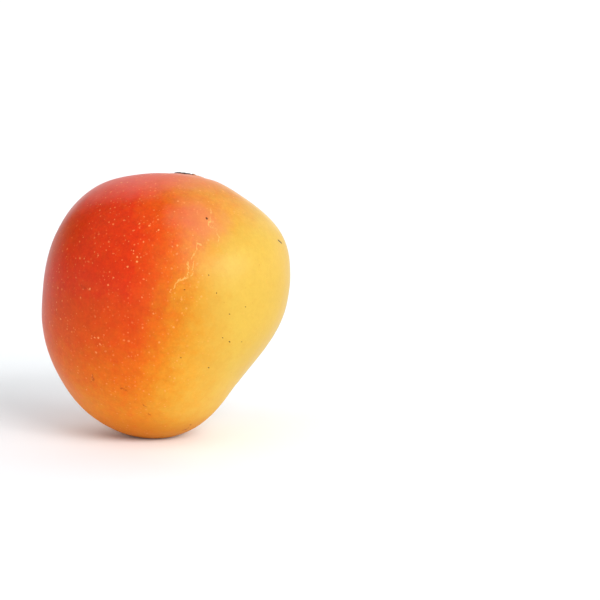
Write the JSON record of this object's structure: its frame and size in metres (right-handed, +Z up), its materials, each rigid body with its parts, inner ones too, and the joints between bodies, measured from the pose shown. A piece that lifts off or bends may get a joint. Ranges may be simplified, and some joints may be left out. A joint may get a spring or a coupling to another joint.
{
  "type": "mango",
  "caption": "Whole ripe mango with red, orange and yellow skin and a dried stem scar, standing on a small flat spot at its tip.",
  "frame": {"origin": "centre of the small flat spot at the fruit's tip, which it rests on", "axes": "+Z up through the fruit to its stem end, which is its longest extent; X across the broad side; Y through the thickness, its shortest extent, with the broad side seen from -Y"},
  "size_m": [0.0984, 0.086, 0.1049],
  "materials": {
    "skin": "satin",
    "cork": "matte"
  },
  "bodies": {
    "root": {"fruit": "skin", "stem_scar": "cork"}
  },
  "joints": []
}
